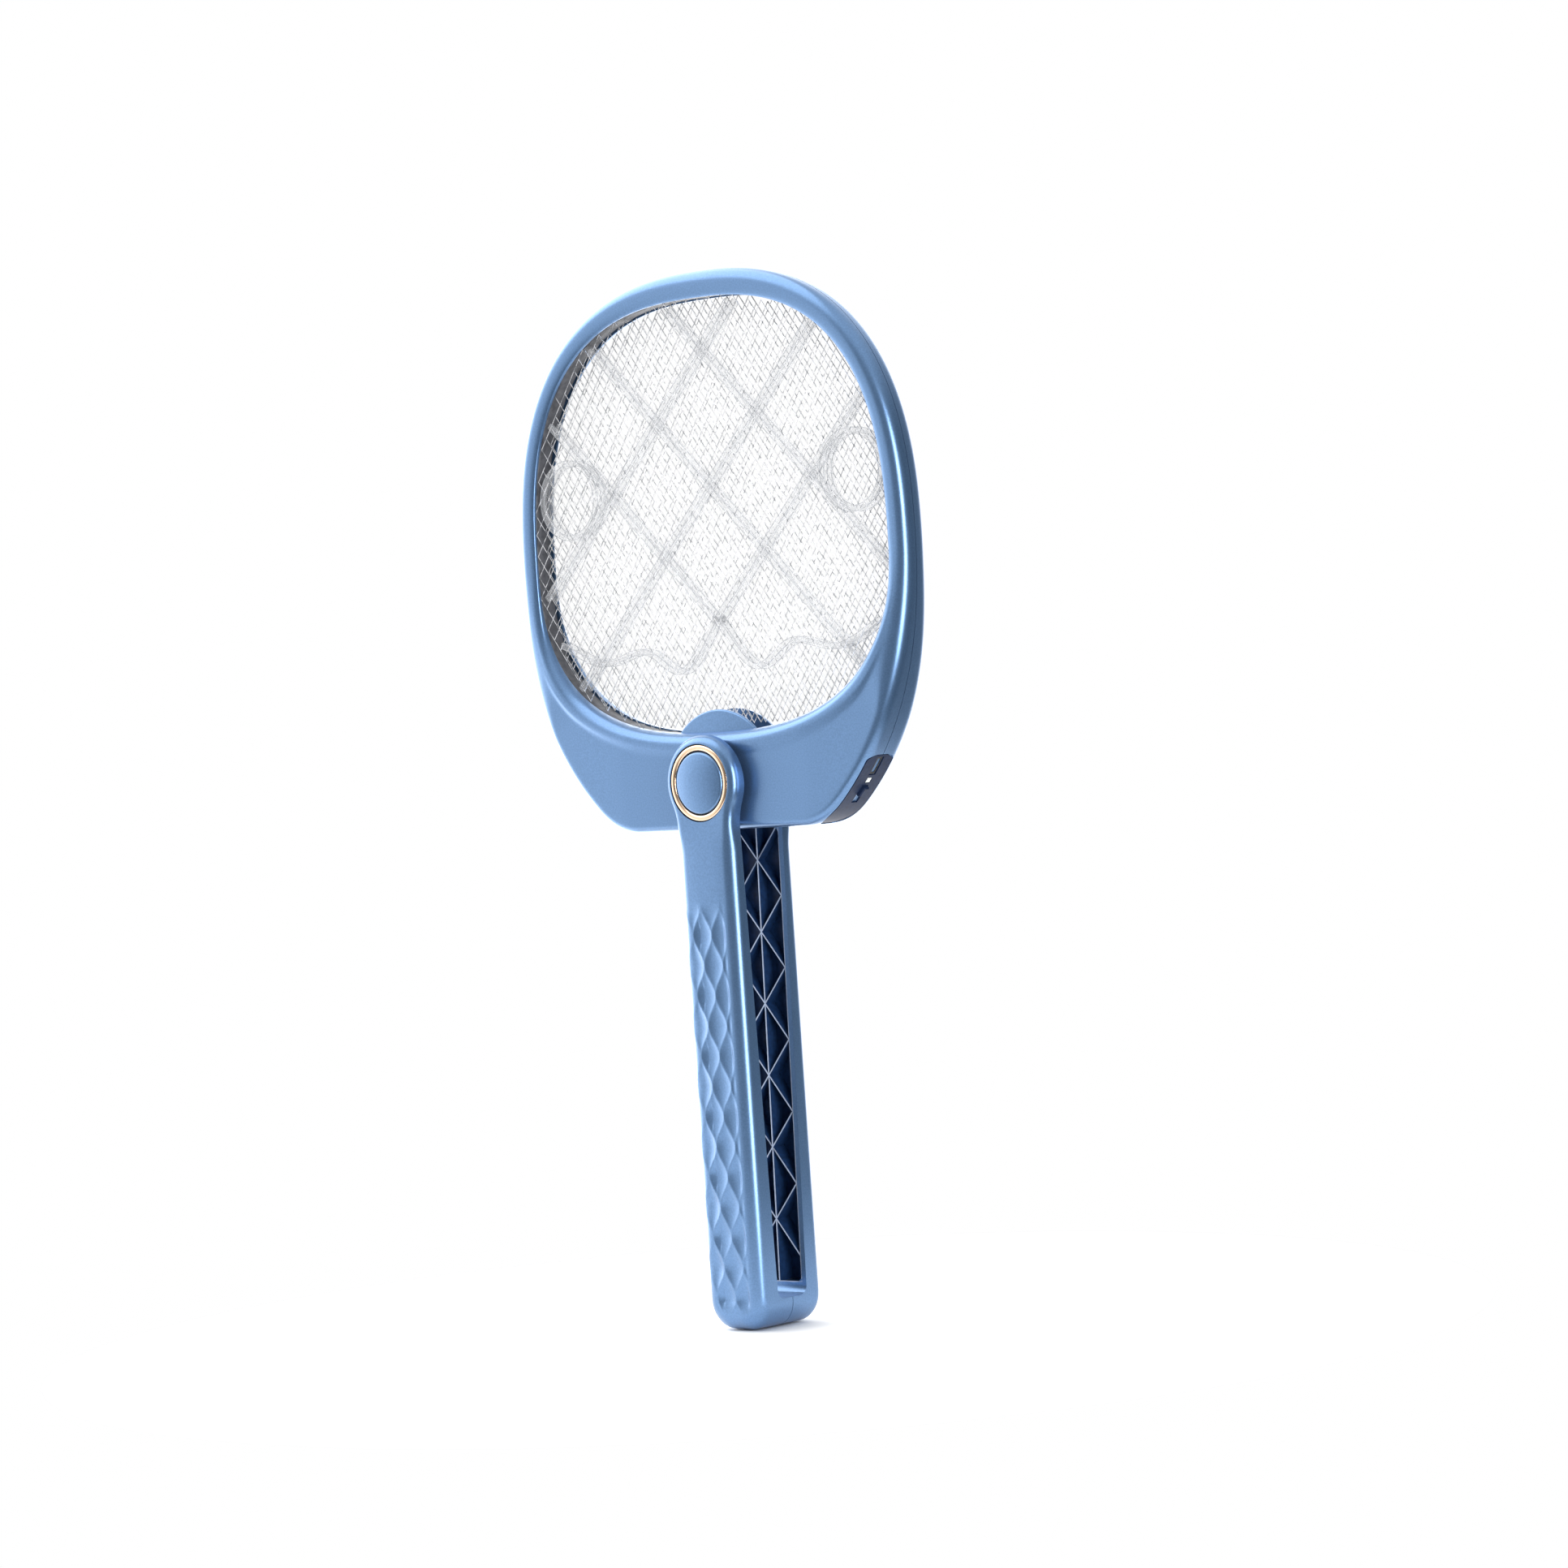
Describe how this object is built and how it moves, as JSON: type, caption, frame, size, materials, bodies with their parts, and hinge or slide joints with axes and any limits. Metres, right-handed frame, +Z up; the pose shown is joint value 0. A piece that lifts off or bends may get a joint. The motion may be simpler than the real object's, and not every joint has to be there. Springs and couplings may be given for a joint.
{
  "type": "electric fly swatter",
  "caption": "Folding electric fly swatter: a blue hoop head with charged mesh turns on a pivot between two handle arms, with a round push button at the pivot.",
  "frame": {"origin": "centre of the handle's flat foot, midway between its two arms", "axes": "+X to the right and +Y to the back as seen from the push button's side, +Z up along the handle to the head"},
  "size_m": [0.2344, 0.0446, 0.47],
  "materials": {
    "blue_shell": "satin metallic blue",
    "dark_blue_plastic": "satin",
    "trim_ring": "satin rose gold",
    "mesh_metal": "bright",
    "grey_plastic": "matt",
    "milky_plastic": "clear to milky",
    "white_nylon": "matt",
    "brass_terminal": "plain",
    "board_green": "satin",
    "winding_tape": "matt",
    "capacitor_red": "gloss",
    "battery_sleeve": "gloss",
    "light_lens": "frosted",
    "black_plastic": "matt",
    "steel": "plain"
  },
  "bodies": {
    "handle": {"button_circuit_board": "board_green", "button_spring": "steel", "button_trim_ring": "trim_ring", "handle_front_arm": "blue_shell", "handle_rear_arm": "blue_shell", "handle_screw_1": "steel", "handle_screw_2": "steel", "pivot_nut": "steel", "pivot_rear_cap": "blue_shell", "pivot_shaft": "steel", "pivot_washer_front": "white_nylon", "pivot_washer_rear": "white_nylon", "push_switch": "black_plastic"},
    "head": {"battery_cell": "battery_sleeve", "battery_contact_inner": "steel", "battery_contact_outer": "steel", "charged_grid": "mesh_metal", "charging_socket": "steel", "circuit_board": "board_green", "front_guard_mesh": "mesh_metal", "front_support_lattice": "milky_plastic", "grid_carrier_ring": "grey_plastic", "grid_terminal_front": "brass_terminal", "grid_terminal_middle": "brass_terminal", "grid_terminal_rear": "brass_terminal", "head_front_frame": "blue_shell", "head_rear_frame": "blue_shell", "head_screw_1": "steel", "head_screw_2": "steel", "head_screw_3": "steel", "head_screw_4": "steel", "head_screw_5": "steel", "head_screw_6": "steel", "head_screw_7": "steel", "high_voltage_capacitor": "capacitor_red", "indicator_light": "light_lens", "mode_switch_body": "black_plastic", "rear_guard_mesh": "mesh_metal", "rear_support_lattice": "milky_plastic", "step_up_transformer": "winding_tape", "storage_capacitor": "capacitor_red"},
    "button": {"push_button": "blue_shell"},
    "knob": {"mode_switch_knob": "dark_blue_plastic"}
  },
  "joints": [
    {"name": "head_fold", "type": "hinge", "parent": "handle", "child": "head", "pos_m": [0, 0, 0.243], "axis": [0, 1, 0], "range_deg": [0, 180]},
    {"name": "button_press", "type": "slide", "parent": "handle", "child": "button", "axis": [0, 1, 0], "range_m": [0, 0.001], "stiffness_N_per_m": 500, "springref_m": -0.002, "deforming": ["button_spring"]},
    {"name": "mode_switch_slide", "type": "slide", "parent": "head", "child": "knob", "axis": [-0.7179, 0, -0.6962], "range_m": [0, 0.004]}
  ]
}
